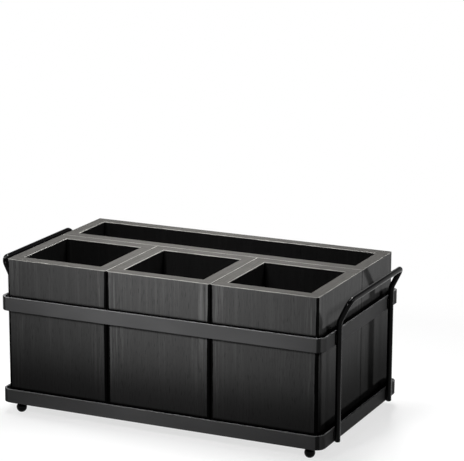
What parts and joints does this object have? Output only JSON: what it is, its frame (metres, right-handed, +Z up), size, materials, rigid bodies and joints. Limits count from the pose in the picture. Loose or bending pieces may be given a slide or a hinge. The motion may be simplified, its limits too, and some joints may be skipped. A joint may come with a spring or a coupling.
{
  "type": "flatware caddy",
  "caption": "Table caddy: lift-out stained wooden flatware bins and a long plate box standing in a frame of flat metal bands with wire handles and ball feet.",
  "frame": {"origin": "on the table, under the middle of the caddy", "axes": "+Z up; -Y to the front, where the flatware bins are; +X to the right, along the caddy's length"},
  "size_m": [0.342, 0.1818, 0.1438],
  "materials": {
    "stained_wood": "satin",
    "band_metal": "satin",
    "wire_metal": "gloss"
  },
  "bodies": {
    "frame": {"lower_band": "band_metal", "upper_band": "band_metal", "front_base_rail": "band_metal", "middle_base_rail": "band_metal", "rear_base_rail": "band_metal", "left_handle": "wire_metal", "right_handle": "wire_metal", "front_left_foot": "wire_metal", "front_right_foot": "wire_metal", "rear_left_foot": "wire_metal", "rear_right_foot": "wire_metal"},
    "left_bin": {"left_bin_front_board": "stained_wood", "left_bin_rear_board": "stained_wood", "left_bin_left_board": "stained_wood", "left_bin_right_board": "stained_wood", "left_bin_floor_board": "stained_wood"},
    "centre_bin": {"centre_bin_front_board": "stained_wood", "centre_bin_rear_board": "stained_wood", "centre_bin_left_board": "stained_wood", "centre_bin_right_board": "stained_wood", "centre_bin_floor_board": "stained_wood"},
    "right_bin": {"right_bin_front_board": "stained_wood", "right_bin_rear_board": "stained_wood", "right_bin_left_board": "stained_wood", "right_bin_right_board": "stained_wood", "right_bin_floor_board": "stained_wood"},
    "plate_box": {"plate_box_front_board": "stained_wood", "plate_box_rear_board": "stained_wood", "plate_box_left_board": "stained_wood", "plate_box_right_board": "stained_wood", "plate_box_floor_board": "stained_wood"}
  },
  "joints": [
    {"name": "left_bin_lift", "type": "slide", "parent": "frame", "child": "left_bin", "axis": [0, 0, 1], "range_m": [0, 0.14]},
    {"name": "centre_bin_lift", "type": "slide", "parent": "frame", "child": "centre_bin", "axis": [0, 0, 1], "range_m": [0, 0.14]},
    {"name": "right_bin_lift", "type": "slide", "parent": "frame", "child": "right_bin", "axis": [0, 0, 1], "range_m": [0, 0.14]},
    {"name": "plate_box_lift", "type": "slide", "parent": "frame", "child": "plate_box", "axis": [0, 0, 1], "range_m": [0, 0.14]}
  ]
}
